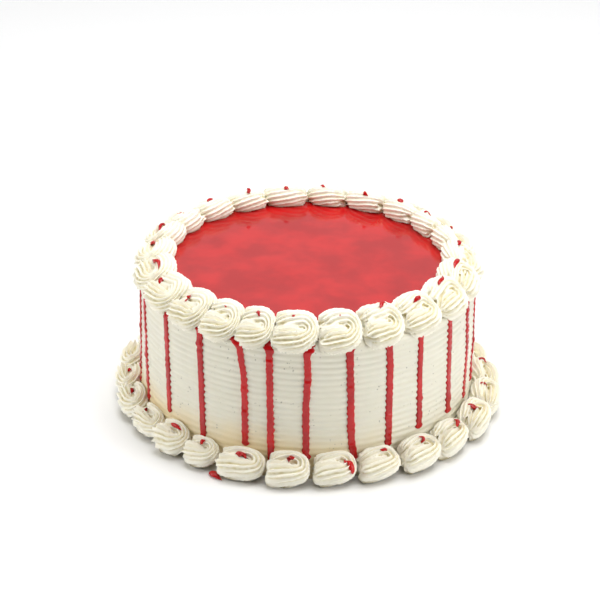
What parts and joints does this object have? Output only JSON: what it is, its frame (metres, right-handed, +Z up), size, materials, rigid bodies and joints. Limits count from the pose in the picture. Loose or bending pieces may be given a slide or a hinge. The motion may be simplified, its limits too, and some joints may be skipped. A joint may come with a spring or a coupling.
{
  "type": "sponge cake",
  "caption": "Round cream-coated party cake with a glossy red gel top, gel runs down the side and piped cream swirls round the top edge and foot.",
  "frame": {"origin": "centre of the cake's flat underside", "axes": "+Z up out of the top; X and Y level, with -Y towards the side that the picture shows"},
  "size_m": [0.2629, 0.2638, 0.1118],
  "materials": {
    "cream": "whipped ivory cream, soft satin, combed in fine level grooves on the side and piped in ridged swirls",
    "gel": "glossy red piping gel, wet looking"
  },
  "bodies": {
    "root": {"cake": "cream", "gel_sheet": "gel", "top_swirl_01": "cream", "top_swirl_02": "cream", "top_swirl_03": "cream", "top_swirl_04": "cream", "top_swirl_05": "cream", "top_swirl_06": "cream", "top_swirl_07": "cream", "top_swirl_08": "cream", "top_swirl_09": "cream", "top_swirl_10": "cream", "top_swirl_11": "cream", "top_swirl_12": "cream", "top_swirl_13": "cream", "top_swirl_14": "cream", "top_swirl_15": "cream", "top_swirl_16": "cream", "top_swirl_17": "cream", "top_swirl_18": "cream", "top_swirl_19": "cream", "top_swirl_20": "cream", "top_swirl_21": "cream", "top_swirl_22": "cream", "top_swirl_23": "cream", "base_swirl_01": "cream", "base_swirl_02": "cream", "base_swirl_03": "cream", "base_swirl_04": "cream", "base_swirl_05": "cream", "base_swirl_06": "cream", "base_swirl_07": "cream", "base_swirl_08": "cream", "base_swirl_09": "cream", "base_swirl_10": "cream", "base_swirl_11": "cream", "base_swirl_12": "cream", "base_swirl_13": "cream", "base_swirl_14": "cream", "base_swirl_15": "cream", "base_swirl_16": "cream", "base_swirl_17": "cream", "base_swirl_18": "cream", "base_swirl_19": "cream", "base_swirl_20": "cream", "base_swirl_21": "cream", "base_swirl_22": "cream", "base_swirl_23": "cream", "base_swirl_24": "cream", "base_swirl_25": "cream"}
  },
  "joints": []
}
